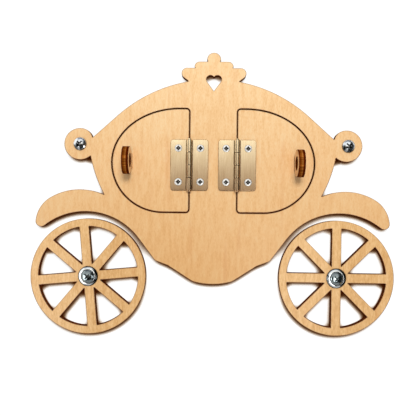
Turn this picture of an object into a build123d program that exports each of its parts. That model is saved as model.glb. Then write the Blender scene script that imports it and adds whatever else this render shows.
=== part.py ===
from build123d import *
import os
from math import acos, atan2, cos, degrees, hypot, radians, sin, sqrt

# A plywood carriage for a child's busy board: one laser-cut body panel with two hinged doors,
# a round pull on each door, and two spoked wheels that turn on screws.
#
# X runs to the right and Z up. The board that the carriage is screwed to is the plane y = 0,
# and everything in front of it has a negative y. z = 0 is the line through both wheel centres,
# and x = 0 is the carriage's line of symmetry. Heights in the code are counted forward from
# the board. All lengths are in millimetres, and all angles in degrees.

# --- plywood ---
ply = 5.0                     # thickness of every plywood piece

# --- wheels ---
wheel_radius = 43.3
rim_width = 5.8
spoke_width = 7.1
spoke_bars = 4                # bars right across the wheel, so twice as many spokes
left_wheel_turn = 5.2         # how far each wheel happens to have been turned
right_wheel_turn = -0.3

# --- mudguards, which follow the wheels ---
arch_gap = 5.3                # clear space over the top of a wheel
arch_shift = 2.5              # the arch is centred this much outside the axle,
arch_drop = 1.5               # and this much below it
arch_end_angle = 143.2        # where the arch runs out into the straight flank of the body
guard_depth = 16.6            # wood over the top of the arch
crest_shift = 6.9             # the mudguard is highest this far outside the axle
cusp_back = 11.5              # the mudguard meets the body this far inside the axle,
cusp_drop = 4.1               # and this far below its crest
nose_angle = 31.0             # the crest bends into the nose this far past the vertical
nose_radius = 23.0
tip_radius = 4.1

# --- lower hem of the body ---
hem_corner_x = 43.4
hem_corner_z = 12.1
hem_knee = (33.6, 8.5)
hem_foot = (15.0, -3.4)
hem_bottom_z = -5.5
corner_round = 3.0
knee_round = 7.0
foot_round = 9.0

# --- doors ---
hinge_line_x = 18.0           # middle of the cut along a door's hinge side
door_width = 58.45
door_mid_z = 86.0             # height of a door's widest place
door_upper = 40.8             # its height above that place, and below it
door_lower = 37.6
door_top_flat = 6.9
door_bottom_flat = 19.7
door_corner = 2.5
door_gap = 0.95               # width of the cut round the curved side,
hinge_side_gap = 0.8          # and along the hinge side

# --- dome of the body, and the lamp at each end of it ---
dome_radius = 108.0
dome_rise = 22.3              # wood over the doors on the line of symmetry
shoulder_angle = 42.0         # where the dome runs out into a straight shoulder
shoulder_run = 24.0
lamp_radius = 11.9
lamp_lean = -29.0             # direction from the end of the shoulder to the lamp's centre
lamp_curl = 9.0               # the lamp curls in more tightly from its top to the shoulder,
lamp_curl_angle = 100.0       # beginning in this direction from its centre
lamp_foot_angle = 228.0       # where the lamp meets the side of the body
lamp_screw_shift = 1.3        # how far off its lamp's centre the right-hand screw was put
side_bulge = 1.3              # how far the side of the body curves out

# --- crown, measured from the top of the dome ---
knob_radius = 5.25
knob_rise = 14.8
tier_half = 14.7
tier_rise = 13.3
tier_round = 3.8
wing_half = 24.45
wing_rise = 8.55
wing_round = 4.1
crown_neck = 0.7              # how far the knob and the tier draw in again at their feet
wing_notch = 18.9             # half the crown's width where the wings' undersides meet the dome
heart_half_width = 5.75
heart_height = 11.9
heart_lobe = 3.1
heart_tip_drop = 8.9

# --- hinges: sheet-steel butt hinges with four knuckles ---
hinge_height = 38.0
hinge_open_width = 28.0
leaf = 1.0                    # thickness of the sheet
leaf_round = 1.9
knuckle_radius = 2.1
knuckles = 4
knuckle_gap = 0.2
barrel_lift = 0.2             # the barrel clears the wood by this much
leaf_slot = 0.25              # gap between one leaf and the other leaf's knuckles
pin_radius = 1.1
pin_fit = 0.06
pin_head_radius = 1.6
pin_head = 0.8
pin_head_round = 0.5
hinge_mid_z = 84.2
hinge_screw_pitch = 25.4      # along the hinge
hinge_screw_x = 8.3           # from the pin to the line of screws

# --- screws ---
# hinge screws: raised countersunk heads
small_radius = 1.45
small_head_radius = 2.75
small_sink = 0.9              # depth of the cone
small_dome = 0.7
small_length = 4.4            # shank in the wood, with its point
small_recess = (1.75, 0.65, 1.1)
# lamp and axle screws: pan heads
lamp_screw_radius = 2.1
lamp_head_radius = 4.65
lamp_head_height = 3.1
lamp_neck_radius = 1.8
axle_radius = 2.4
axle_head_radius = 4.85
axle_head_height = 3.3
head_wall = 1.05              # straight edge of a pan head, under its dome
groove_depth = 0.5            # thread run-out, just behind the board's face
groove_length = 0.8
thread_length = 9.2
point_length = 3.0
big_recess = (2.7, 1.2, 2.0)  # half width, arm width and depth of the cross

# --- fits ---
screw_fit = 0.05              # round a screw's shank or under its cone
hole_clearance = 0.25         # round the lamp screws, so that they draw the panel tight
axle_fit = 0.08
end_play = 0.15               # on each side of a wheel
tenon_fit = 0.05

# --- washers ---
spacer = 1.0
spacer_radius = 5.5
cup_radius = 7.4
cup_height = 1.7
cup_edge = 0.35
cup_floor = 0.9
cup_rim_radius = 5.35

# --- pulls: plywood rings that stand on edge, each with a tenon through its door ---
pull_x = 64.0
left_pull_z = 86.8            # the two were not set at quite the same height
right_pull_z = 85.5
pulls_apart = 2.6             # between the two pulls with both doors wide open
pull_sink = 1.4               # how far the ring's circle runs into the door
pull_wall = 5.0
tenon_width = 10.8

# --- worked out from the sizes above ---
arch_top = wheel_radius + arch_gap
arch_radius = arch_top + arch_drop
flank = radians(arch_end_angle - 90)
flank_start_z = arch_radius * sin(radians(arch_end_angle)) - arch_drop
flank_run_x = (flank_start_z - hem_corner_z) / sin(flank) * cos(flank)
wheel_x = hem_corner_x + flank_run_x - arch_radius * cos(radians(arch_end_angle)) - arch_shift
crest_z = arch_top + guard_depth
cusp = (wheel_x - cusp_back, crest_z - cusp_drop)
dome_top = door_mid_z + door_upper + dome_rise
dome_centre = (0.0, dome_top - dome_radius)
barrel_height = ply + barrel_lift + knuckle_radius
pull_rise = hinge_line_x + barrel_height - ply - pulls_apart / 2
pull_radius = (pull_rise + pull_sink) / 2
knuckle_length = hinge_height / knuckles
wheel_back = spacer + end_play
cup_back = wheel_back + ply + end_play


def polar(centre, radius, angle):
    """The point at an angle on a circle in the plane of the board."""
    turn = radians(angle)
    return centre[0] + radius * cos(turn), centre[1] + radius * sin(turn)


def bearing(start, end):
    """The direction from one point to another."""
    return degrees(atan2(end[1] - start[1], end[0] - start[0]))


def bend(centre, radius, start_angle, end_angle):
    """An arc about a centre, either way round."""
    return CenterArc(centre, radius, start_angle, end_angle - start_angle)


def meet(first, first_radius, second, second_radius):
    """Where two circles cross, on the left of the way from the first centre to the second."""
    apart = hypot(second[0] - first[0], second[1] - first[1])
    along = (apart**2 + first_radius**2 - second_radius**2) / (2 * apart)
    return polar(first, first_radius, bearing(first, second) + degrees(acos(along / first_radius)))


def line_to_circle(start, direction, centre, radius):
    """Where a line from a point first meets a circle."""
    apart = hypot(centre[0] - start[0], centre[1] - start[1])
    aside = radians(bearing(start, centre) - direction)
    return polar(start, apart * cos(aside) - sqrt(radius**2 - (apart * sin(aside))**2), direction)


def slab(outline, low, high):
    """A flat piece between two heights over the board."""
    return extrude(Plane.XZ.offset(low) * outline, amount=high - low)


def rod(x, z, radius, low, high):
    """A round bar that stands square to the board."""
    return slab(Pos(x, z) * Circle(radius), low, high)


def turned(edges):
    """A turned piece from its half section: radius first, then height over the board."""
    section = make_face(Curve() + edges)
    return mirror(revolve(section, Axis.Y, 360), Plane.XZ)


def chain(points):
    """Straight edges through a list of points."""
    return [Line(start, end) for start, end in zip(points, points[1:])]


def cross_recess(half_width, arm, depth, top, turn):
    """The cross-shaped hole in a screw's head, narrower towards its floor."""
    arms = Rectangle(2 * half_width, arm) + Rectangle(arm, 2 * half_width)
    prism = slab(Rot(0, 0, turn) * arms, top - depth, top + depth)
    taper = turned(chain([
        (0, top - depth), (arm, top - depth), (half_width, top), (half_width, top + depth),
        (0, top + depth), (0, top - depth),
    ]))
    return prism & taper


# --- body panel ---

def crown_edges():
    """The right half of the crown, from the top of its knob down to its notch in the dome."""
    knob = (0.0, dome_top + knob_rise)
    tier = dome_top + tier_rise
    wing = dome_top + wing_rise
    notch = (wing_notch, dome_centre[1] + sqrt(dome_radius**2 - wing_notch**2))
    wing_end = (wing_half - wing_round, wing - wing_round)
    reach = hypot(notch[0] - wing_end[0], notch[1] - wing_end[1])
    underside = bearing(wing_end, notch) + degrees(acos(wing_round / reach))
    return [
        bend(knob, knob_radius, 90, 0),
        Line((knob_radius, knob[1]), (knob_radius - crown_neck, tier)),
        Line((knob_radius - crown_neck, tier), (tier_half - tier_round, tier)),
        bend((tier_half - tier_round, tier - tier_round), tier_round, 90, 0),
        Line((tier_half, tier - tier_round), (tier_half - crown_neck, wing)),
        Line((tier_half - crown_neck, wing), (wing_end[0], wing)),
        bend(wing_end, wing_round, 90, underside),
        Line(polar(wing_end, wing_round, underside), notch),
    ]


def lamp_centre():
    """The centre of the right-hand lamp, at the end of the dome's shoulder."""
    top = polar(dome_centre, dome_radius, 90 - shoulder_angle)
    end = polar(top, shoulder_run, -shoulder_angle)
    return polar(end, lamp_radius, lamp_lean)


def lamp_screw_spots():
    """The left-hand lamp's screw, and then the right-hand one's."""
    x, z = lamp_centre()
    return [(-x, z), (x + lamp_screw_shift, z)]


def dome_edges():
    """The right half of the dome, its shoulder, the lamp and the side of the body."""
    start = polar(dome_centre, dome_radius, degrees(acos(wing_notch / dome_radius)))
    top = polar(dome_centre, dome_radius, 90 - shoulder_angle)
    curl_centre = polar(lamp_centre(), lamp_radius - lamp_curl, lamp_curl_angle)
    end = line_to_circle(top, -shoulder_angle, curl_centre, lamp_curl)
    foot = polar(lamp_centre(), lamp_radius, lamp_foot_angle)
    return [
        bend(dome_centre, dome_radius, bearing(dome_centre, start), 90 - shoulder_angle),
        Line(top, end),
        bend(curl_centre, lamp_curl, bearing(curl_centre, end), lamp_curl_angle),
        bend(lamp_centre(), lamp_radius, lamp_curl_angle, lamp_foot_angle - 360),
        SagittaArc(foot, cusp, side_bulge),
    ]


def mudguard_edges():
    """The right-hand mudguard, from the side of the body out to its tip and back under it."""
    reach = crest_shift + cusp_back
    crest_radius = (reach**2 + cusp_drop**2) / (2 * cusp_drop)
    crest_centre = (wheel_x + crest_shift, crest_z - crest_radius)
    nose_centre = polar(crest_centre, crest_radius - nose_radius, 90 - nose_angle)
    arch_centre = (wheel_x + arch_shift, -arch_drop)
    tip_centre = meet(
        nose_centre, nose_radius - tip_radius, arch_centre, arch_radius + tip_radius)
    inward = bearing(tip_centre, arch_centre)
    outward = bearing(nose_centre, tip_centre)
    return [
        bend(crest_centre, crest_radius, bearing(crest_centre, cusp), 90 - nose_angle),
        bend(nose_centre, nose_radius, 90 - nose_angle, outward),
        bend(tip_centre, tip_radius, outward, inward),
        bend(arch_centre, arch_radius, inward + 180, arch_end_angle),
        Line(polar(arch_centre, arch_radius, arch_end_angle), (hem_corner_x, hem_corner_z)),
    ]


def hem_edges():
    """The right half of the hem, which sags to its lowest place on the line of symmetry."""
    across = hem_foot[0]
    sag = hem_foot[1] - hem_bottom_z
    radius = (across**2 + sag**2) / (2 * sag)
    centre = (0.0, hem_bottom_z + radius)
    return [
        Line((hem_corner_x, hem_corner_z), hem_knee),
        Line(hem_knee, hem_foot),
        bend(centre, radius, bearing(centre, hem_foot), -90),
    ]


def heart():
    """The heart-shaped hole in the crown."""
    tip = dome_top - heart_tip_drop
    lobe = (heart_half_width - heart_lobe, tip + heart_height - heart_lobe)
    notch = (0.0, lobe[1] + sqrt(heart_lobe**2 - lobe[0]**2))
    reach = hypot(lobe[0], lobe[1] - tip)
    swing = degrees(acos(heart_lobe / reach))
    touch = bearing(lobe, (0.0, tip)) + swing
    half = make_face(Curve() + [
        bend(lobe, heart_lobe, bearing(lobe, notch), touch),
        Line(polar(lobe, heart_lobe, touch), (0.0, tip)),
        Line((0.0, tip), notch),
    ])
    return half + mirror(half, Plane.YZ)


def door_outline(grow, hinge_grow):
    """The right-hand door's outline on the middle of its cut, grown by half of the cut."""
    hinge_side = hinge_line_x - hinge_grow
    top = door_mid_z + door_upper + grow
    bottom = door_mid_z - door_lower - grow
    top_start = (hinge_line_x + door_top_flat, door_mid_z)
    bottom_start = (hinge_line_x + door_bottom_flat, door_mid_z)
    upper_reach = door_width - door_top_flat + grow
    lower_reach = door_width - door_bottom_flat + grow
    face = make_face(Curve() + [
        Line((hinge_side, bottom), (hinge_side, top)),
        Line((hinge_side, top), (top_start[0], top)),
        EllipticalCenterArc(top_start, upper_reach, door_upper + grow, start_angle=0, arc_size=90),
        EllipticalCenterArc(
            bottom_start, lower_reach, door_lower + grow, start_angle=270, arc_size=90),
        Line((bottom_start[0], bottom), (hinge_side, bottom)),
    ])
    return fillet(face.vertices().sort_by(Axis.X)[:2], door_corner + grow)


def leaf_screw_spots(side):
    """Both screws of one leaf of the right-hand hinge: side is 1 on the door, -1 on the body."""
    x = hinge_line_x + side * hinge_screw_x
    return [(x, hinge_mid_z - hinge_screw_pitch / 2), (x, hinge_mid_z + hinge_screw_pitch / 2)]


def pilot_holes(side):
    """The holes for one leaf's screws."""
    floor = ply - small_length - screw_fit
    return Part() + [rod(x, z, small_radius + screw_fit, floor, ply)
                     for x, z in leaf_screw_spots(side)]


def both_sides(piece):
    """A piece and its mirror image across the line of symmetry."""
    return piece + mirror(piece, Plane.YZ)


def body_panel():
    half = make_face(Curve() + crown_edges() + dome_edges() + mudguard_edges() + hem_edges()
                     + [Line((0.0, hem_bottom_z), (0.0, dome_top + knob_rise + knob_radius))])
    rounds = [((hem_corner_x, hem_corner_z), corner_round), (hem_knee, knee_round),
              (hem_foot, foot_round)]
    for place, radius in rounds:
        spot = half.vertices().sort_by_distance((*place, 0))[0]
        half = fillet(spot, radius)
    outline = both_sides(half) - heart()
    outline -= both_sides(door_outline(door_gap / 2, hinge_side_gap / 2))
    panel = slab(outline, 0, ply) - both_sides(pilot_holes(-1))
    for x, z in lamp_screw_spots():
        panel -= rod(x, z, lamp_screw_radius + hole_clearance, 0, ply)
    return panel


# --- doors and pulls ---

def door(pull_z):
    """The right-hand door, with the slot for its pull and the holes for its hinge."""
    blank = slab(door_outline(-door_gap / 2, -hinge_side_gap / 2), 0, ply)
    slot = Pos(pull_x, pull_z) * Rectangle(ply + 2 * tenon_fit, tenon_width + 2 * tenon_fit)
    return blank - slab(slot, 0, ply) - pilot_holes(1)


def pull(pull_z):
    """The right-hand pull: a ring on edge, one with the tenon that goes through the door."""
    middle = ply + pull_rise - pull_radius
    ring = Circle(pull_radius) - Circle(pull_radius - pull_wall)
    tenon = Pos(-middle + ply / 2, 0) * Rectangle(ply, tenon_width)
    foot = Pos(-pull_radius, 0) * Rectangle(2 * pull_sink, 2 * pull_radius)
    flat = (ring - foot) + tenon
    on_edge = Plane(origin=(pull_x - ply / 2, -middle, pull_z), x_dir=(0, -1, 0), z_dir=(1, 0, 0))
    return extrude(on_edge * flat, amount=ply)


# --- hinges ---

def knuckle_spans(first):
    """The stretches of the barrel that belong to one leaf, counted down from the top."""
    top = hinge_mid_z + hinge_height / 2
    spans = []
    for index in range(first, knuckles, 2):
        high = top - index * knuckle_length - (knuckle_gap / 2 if index else 0)
        low = top - (index + 1) * knuckle_length
        low += knuckle_gap / 2 if index + 1 < knuckles else 0
        spans.append((low, high))
    return spans


def barrel_piece(radius, low, high):
    """A round bar along the axis of the right-hand hinge."""
    place = Plane(origin=(hinge_line_x, -barrel_height, low), z_dir=(0, 0, 1))
    return extrude(place * Circle(radius), amount=high - low)


def hinge_leaf(side, first):
    """One leaf of the right-hand hinge; first is 0 if it has the top knuckle, and 1 if not."""
    inner = knuckle_radius + leaf_slot
    outer = hinge_open_width / 2
    middle = (inner + outer) / 2
    sheet = Pos(hinge_line_x + side * middle, hinge_mid_z) * Rectangle(outer - inner, hinge_height)
    far = sheet.vertices().sort_by(Axis.X)[-2:] if side > 0 else sheet.vertices().sort_by(Axis.X)[:2]
    result = slab(fillet(far, leaf_round), ply, ply + leaf)
    for low, high in knuckle_spans(first):
        curl = Rectangle(inner, high - low)
        curl = Pos(hinge_line_x + side * inner / 2, (low + high) / 2) * curl
        result += slab(curl, ply, ply + leaf)
        result += barrel_piece(knuckle_radius, low, high)
    low, high = hinge_mid_z - hinge_height, hinge_mid_z + hinge_height
    result -= barrel_piece(pin_radius + pin_fit, low, high)
    for x, z in leaf_screw_spots(side):
        result -= Pos(x, 0, z) * countersink()
    return result


def countersink():
    """The hole in a leaf for a small screw, with room round its cone."""
    face = ply + leaf
    shank = small_radius + screw_fit
    head = small_head_radius + screw_fit
    return turned(chain([
        (0, ply - leaf), (shank, ply - leaf), (shank, face - small_sink), (head, face),
        (head, face + leaf), (0, face + leaf), (0, ply - leaf),
    ]))


def hinge_pin():
    """The pin of the right-hand hinge, with a peened head over each end of the barrel."""
    half = hinge_height / 2 + knuckle_gap
    tip = half + pin_head
    flat = pin_head_radius - pin_head_round
    edge = tip - pin_head_round
    section = make_face(Curve() + [
        Line((0, -tip), (flat, -tip)),
        bend((flat, -edge), pin_head_round, 270, 360),
    ] + chain([
        (pin_head_radius, -edge), (pin_head_radius, -half), (pin_radius, -half),
        (pin_radius, half), (pin_head_radius, half), (pin_head_radius, edge),
    ]) + [
        bend((flat, edge), pin_head_round, 0, 90),
    ] + chain([(flat, tip), (0, tip), (0, -tip)]))
    pin = revolve(Plane.XZ * section, Axis.Z, 360)
    return Pos(hinge_line_x, -barrel_height, hinge_mid_z) * pin


# --- screws ---

def small_screw():
    """A hinge screw on the board's normal, seated in a leaf."""
    face = ply + leaf
    seat = face - small_sink
    tip = ply - small_length
    dome_top_height = face + small_dome
    blank = turned(chain([
        (0, tip), (small_radius, tip + small_radius), (small_radius, seat),
        (small_head_radius, face),
    ]) + [
        dome((small_head_radius, face), dome_top_height),
        Line((0, dome_top_height), (0, tip)),
    ])
    half_width, arm, depth = small_recess
    return blank - cross_recess(half_width, arm, depth, dome_top_height, 0)


def dome(edge, top):
    """The arc of a domed head, from its edge to its highest place on the axis."""
    across, rise = edge[0], top - edge[1]
    radius = (across**2 + rise**2) / (2 * rise)
    centre = (0, top - radius)
    return bend(centre, radius, bearing(centre, edge), 90)


def pan_head(radius, height, seat):
    """The edges of a pan head's half section, from under its edge to its axis."""
    return [
        Line((radius, seat), (radius, seat + head_wall)),
        dome((radius, seat + head_wall), seat + height),
    ]


def big_screw(shank, neck, head_radius, head_height, seat):
    """A pan-head screw: plain neck in front of the board, and its threaded end behind it."""
    run_out = shank - groove_depth
    thread_start = -groove_length
    thread_end = thread_start - thread_length
    tip = thread_end - point_length
    top = seat + head_height
    blank = turned(chain([
        (0, tip), (shank, thread_end), (shank, thread_start), (run_out, thread_start),
        (run_out, 0), (neck, 0), (neck, seat), (head_radius, seat),
    ]) + pan_head(head_radius, head_height, seat) + [Line((0, top), (0, tip))])
    half_width, arm, depth = big_recess
    return blank - cross_recess(half_width, arm, depth, top, 45)


def axle_screw():
    return big_screw(
        axle_radius, axle_radius, axle_head_radius, axle_head_height, cup_back + cup_floor)


def lamp_screw():
    return big_screw(
        lamp_screw_radius, lamp_neck_radius, lamp_head_radius, lamp_head_height, ply)


# --- washers and wheels ---

def cup_washer():
    """The raised washer under an axle screw's head, which sits down inside it."""
    hole = axle_radius + screw_fit
    well = axle_head_radius + screw_fit
    back, floor, top = cup_back, cup_back + cup_floor, cup_back + cup_height
    crown = (cup_rim_radius, top)
    edge = (cup_radius, back + cup_edge)
    return turned(chain([(hole, back), (cup_radius, back), edge]) + [
        SagittaArc(edge, crown, cup_edge),
    ] + chain([crown, (well, top), (well, floor), (hole, floor), (hole, back)]))


def spacer_washer():
    """The flat washer behind a wheel, which holds it off the board."""
    return rod(0, 0, spacer_radius, 0, spacer) - rod(0, 0, axle_radius + screw_fit, 0, spacer)


def wheel(turn):
    """A wheel whose spokes are plain bars that cross in the middle."""
    outline = Circle(wheel_radius) - Circle(wheel_radius - rim_width)
    for bar in range(spoke_bars):
        spoke = Rectangle(2 * wheel_radius - rim_width, spoke_width)
        outline += Rot(0, 0, turn + bar * 180 / spoke_bars) * spoke
    outline -= Circle(axle_radius + axle_fit)
    return slab(outline, wheel_back, wheel_back + ply)


# --- the carriage ---

def small_screws(side):
    return Compound(children=[Pos(x, 0, z) * small_screw() for x, z in leaf_screw_spots(side)])


def flipped(piece):
    """The left-hand piece that mirrors a right-hand one."""
    return mirror(piece, Plane.YZ)


pieces = {
    "body_panel": body_panel(),
    "door_right": door(right_pull_z),
    "door_left": flipped(door(left_pull_z)),
    "pull_right": pull(right_pull_z),
    "pull_left": flipped(pull(left_pull_z)),
    # the leaf on the left of each hinge has its top knuckle
    "hinge_leaf_body_right": hinge_leaf(-1, 0),
    "hinge_leaf_door_right": hinge_leaf(1, 1),
    "hinge_leaf_body_left": flipped(hinge_leaf(-1, 1)),
    "hinge_leaf_door_left": flipped(hinge_leaf(1, 0)),
    "hinge_pin_right": hinge_pin(),
    "hinge_pin_left": flipped(hinge_pin()),
    "hinge_screws_body_right": small_screws(-1),
    "hinge_screws_body_left": flipped(small_screws(-1)),
    "hinge_screws_door_right": small_screws(1),
    "hinge_screws_door_left": flipped(small_screws(1)),
}
for name, side, turn, lamp_spot in (
        ("left", -1, left_wheel_turn, lamp_screw_spots()[0]),
        ("right", 1, right_wheel_turn, lamp_screw_spots()[1])):
    at_axle = Pos(side * wheel_x, 0, 0)
    pieces["wheel_" + name] = at_axle * wheel(turn)
    pieces["axle_screw_" + name] = at_axle * axle_screw()
    pieces["cup_washer_" + name] = at_axle * cup_washer()
    pieces["spacer_washer_" + name] = at_axle * spacer_washer()
    pieces["lamp_screw_" + name] = Pos(lamp_spot[0], 0, lamp_spot[1]) * lamp_screw()

os.makedirs("parts", exist_ok=True)
for name, piece in pieces.items():
    export_step(piece, "parts/" + name + ".step")
print("wheel centres at x =", round(wheel_x, 2), "and lamp screws at", lamp_screw_spots())
print("hinge pins", round(barrel_height, 2), "in front of the board, pull radius", pull_radius)
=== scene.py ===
# %% [markdown]
# # A plywood carriage for a busy board
#
# A busy board is a panel of latches, doors and wheels for small hands. This piece of it is a
# carriage: birch plywood cut by laser, two doors on steel hinges, and two wheels on big screws.
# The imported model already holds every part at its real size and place, so this script works
# on the looks: the finish of the wood, the metal parts in full detail, the light and the camera.

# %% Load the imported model
from math import acos, cos, pi, radians, sin

import bpy
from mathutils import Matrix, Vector


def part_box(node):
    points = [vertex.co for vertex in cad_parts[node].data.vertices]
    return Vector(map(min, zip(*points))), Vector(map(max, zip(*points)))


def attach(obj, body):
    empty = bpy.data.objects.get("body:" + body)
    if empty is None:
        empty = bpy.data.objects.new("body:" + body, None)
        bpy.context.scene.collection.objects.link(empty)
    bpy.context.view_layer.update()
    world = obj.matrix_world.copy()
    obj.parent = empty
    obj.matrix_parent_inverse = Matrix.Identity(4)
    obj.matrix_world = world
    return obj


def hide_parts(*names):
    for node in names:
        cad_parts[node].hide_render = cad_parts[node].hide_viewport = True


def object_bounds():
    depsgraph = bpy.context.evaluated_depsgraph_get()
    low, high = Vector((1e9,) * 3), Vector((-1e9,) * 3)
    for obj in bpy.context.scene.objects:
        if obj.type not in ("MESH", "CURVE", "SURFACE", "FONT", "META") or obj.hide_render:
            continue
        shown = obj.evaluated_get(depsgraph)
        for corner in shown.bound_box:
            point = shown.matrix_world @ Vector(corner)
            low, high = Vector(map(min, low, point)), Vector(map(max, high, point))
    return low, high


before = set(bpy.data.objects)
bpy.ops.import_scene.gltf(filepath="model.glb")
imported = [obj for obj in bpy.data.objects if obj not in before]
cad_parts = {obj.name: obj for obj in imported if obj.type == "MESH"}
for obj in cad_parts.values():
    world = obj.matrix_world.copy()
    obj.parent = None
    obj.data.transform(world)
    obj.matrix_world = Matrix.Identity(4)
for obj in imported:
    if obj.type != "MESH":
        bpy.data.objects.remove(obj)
cad_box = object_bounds()
sides = ("left", "right")
print("the carriage measures", [round((high - low) * 1000, 1) for low, high in zip(*cad_box)], "mm")

# %% [markdown]
# ## The camera
#
# A product picture of a flat thing is taken square on, from arm's length. A long lens would
# hide the thickness of the wood. From 0.4 m the inner walls of the cut-outs just show, which is
# what makes the plywood read as 5 mm thick. The camera is tipped by half a degree, as a hand
# or a tripod head often is.

# %% The camera
front_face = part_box("body_panel")[0].y
camera_distance = 0.394
camera_middle_x = -0.0036
camera_middle_z = 0.0520
camera_tip = radians(-0.55)
sensor_width_mm = 36
focal_length_mm = 45.2

bpy.ops.object.camera_add(
    location=(camera_middle_x, front_face - camera_distance, camera_middle_z),
    rotation=(radians(90), camera_tip, 0),
)
camera = bpy.context.object
camera.data.sensor_width = sensor_width_mm
camera.data.lens = focal_length_mm
bpy.context.scene.camera = camera
print("the camera stands", round(camera_distance * 1000), "mm in front of the panel")

# %% [markdown]
# ## Building materials from nodes
#
# Every finish below is a small network of nodes. It could be wired one node at a time, but then
# the wiring would hide what it is for. A few helpers keep it readable. The first ones turn a
# screen colour, from 0 to 255, into the linear values that the renderer counts in, add a node
# and plug in its inputs, and calculate with numbers.

# %% Helpers for colours and numbers
black = (0.0, 0.0, 0.0, 1.0)
white = (1.0, 1.0, 1.0, 1.0)


def linear(red, green, blue):
    """A screen colour as the renderer's linear values."""
    channels = [value / 255 for value in (red, green, blue)]
    return [v / 12.92 if v <= 0.04045 else ((v + 0.055) / 1.055) ** 2.4 for v in channels] + [1.0]


def add_node(tree, kind, inputs=None, **settings):
    """A node with its settings and inputs; an input given as a socket is linked to it."""
    made = tree.nodes.new("ShaderNode" + kind)
    for name, value in settings.items():
        setattr(made, name, value)
    for name, value in (inputs or {}).items():
        if isinstance(value, bpy.types.NodeSocket):
            tree.links.new(value, made.inputs[name])
        else:
            made.inputs[name].default_value = value
    return made


def add_math(tree, operation, first, second=0.0):
    """The result of a calculation on two numbers or sockets."""
    return add_node(tree, "Math", {0: first, 1: second}, operation=operation).outputs[0]


def add_range(tree, value, start, end, low=0.0, high=1.0):
    """A number that goes from low to high while a value goes from start to end."""
    return add_node(tree, "MapRange", {0: value, 1: start, 2: end, 3: low, 4: high}).outputs[0]


def add_split(tree, vector):
    """The X, Y and Z of a vector."""
    return add_node(tree, "SeparateXYZ", {0: vector}).outputs


print("a mid grey on screen is", round(linear(128, 128, 128)[0], 3), "in linear light")

# %% [markdown]
# ## Ramps, mixes and noise
#
# These are the steps that every finish repeats. A ramp turns a number into a colour, a mix lays
# one colour over another, and noise gives the unevenness of real wood and metal. Noise always
# reads the piece's own coordinates, so that a pattern stays on its piece when a door swings or
# a wheel turns. The last helper starts a new material.

# %% Helpers for finishes
def add_ramp(tree, factor, stops, interpolation="LINEAR"):
    """The colour that a ramp gives for a factor; stops are pairs of place and colour."""
    ramp = add_node(tree, "ValToRGB", {"Fac": factor})
    ramp.color_ramp.interpolation = interpolation
    for _ in stops[2:]:
        ramp.color_ramp.elements.new(0.5)
    for element, (place, colour) in zip(ramp.color_ramp.elements, stops):
        element.position = place
        element.color = colour
    return ramp.outputs["Color"]


def add_blend(tree, factor, first, second, blend_type="MIX"):
    """Two colours mixed."""
    mix = add_node(tree, "Mix", data_type="RGBA", blend_type=blend_type)
    for socket, value in ((mix.inputs[0], factor), (mix.inputs[6], first), (mix.inputs[7], second)):
        if isinstance(value, bpy.types.NodeSocket):
            tree.links.new(value, socket)
        else:
            socket.default_value = value
    return mix.outputs[2]


def add_noise(tree, place, grains, detail=2.0, roughness=0.5):
    """Noise of the object's own coordinates; grains is how many fit in a metre each way."""
    scaled = add_node(tree, "Mapping", {"Vector": place, "Scale": grains}).outputs[0]
    noise = add_node(
        tree, "TexNoise", {"Vector": scaled, "Scale": 1.0, "Detail": detail, "Roughness": roughness})
    return noise.outputs["Fac"]


def add_openness(tree, distance):
    """How open the space round a place is, from 0 to 1, as far as a distance."""
    return add_node(tree, "AmbientOcclusion", {"Distance": distance}, samples=8).outputs["AO"]


def new_material(name):
    """A material, its node tree and its main shader."""
    material = bpy.data.materials.new(name)
    material.use_nodes = True
    return material, material.node_tree, material.node_tree.nodes["Principled BSDF"]


print("pale birch is", [round(value, 2) for value in linear(249, 209, 157)[:3]], "in linear light")

# %% [markdown]
# ## The face of the plywood
#
# Birch has a pale, even face with fine upright fibres, soft light and dark patches, and a few
# reddish streaks. Three noises of different grain are mixed for its tones, and a fourth picks
# out the streaks. They read the piece's own coordinates, so a door keeps its grain when it
# swings. Towards the floor the wood gets less light, and a darker tint paints that shade in.

# %% The wood's face
patch_grain = (22, 22, 12)
figure_grain = (420, 60, 90)
fibre_grain = (1500, 400, 420)
streak_grain = (160, 30, 18)
patch_share = 0.20
figure_share = 0.38
fibre_share = 0.42
tone_spread = 0.12
streak_colour = linear(226, 160, 104)
streak_levels = (0.62, 0.74)
full_streak = (0.22, 0.22, 0.22, 1)
low_shade_start = 0.15


def wood_face(tree, place, fibres, light, middle, dark, painted_low_shade):
    """The colour of a face, with its tones, its streaks and its painted shade towards the bottom."""
    tones = add_math(tree, "MULTIPLY", fibres, fibre_share)
    for grain, roughness, share in ((patch_grain, 0.5, patch_share), (figure_grain, 0.6, figure_share)):
        noise = add_noise(tree, place, grain, detail=3, roughness=roughness)
        tones = add_math(tree, "ADD", tones, add_math(tree, "MULTIPLY", noise, share))
    wood = add_ramp(tree, tones, [(0.5 - tone_spread, dark), (0.5, middle), (0.5 + tone_spread, light)])
    streaks = add_noise(tree, place, streak_grain, detail=2, roughness=0.45)
    streaks = add_ramp(tree, streaks, list(zip(streak_levels, (black, full_streak))))
    wood = add_blend(tree, streaks, wood, streak_colour)
    # Painted shade: the face darkens towards the bottom, where less light falls.
    lowness = add_range(tree, add_split(tree, place)["Z"], low_shade_start, 0.0)
    return add_blend(tree, lowness, wood, painted_low_shade, "MULTIPLY")


print("the face mixes", patch_share, figure_share, fibre_share, "of patches, figure and fibres")
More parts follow.
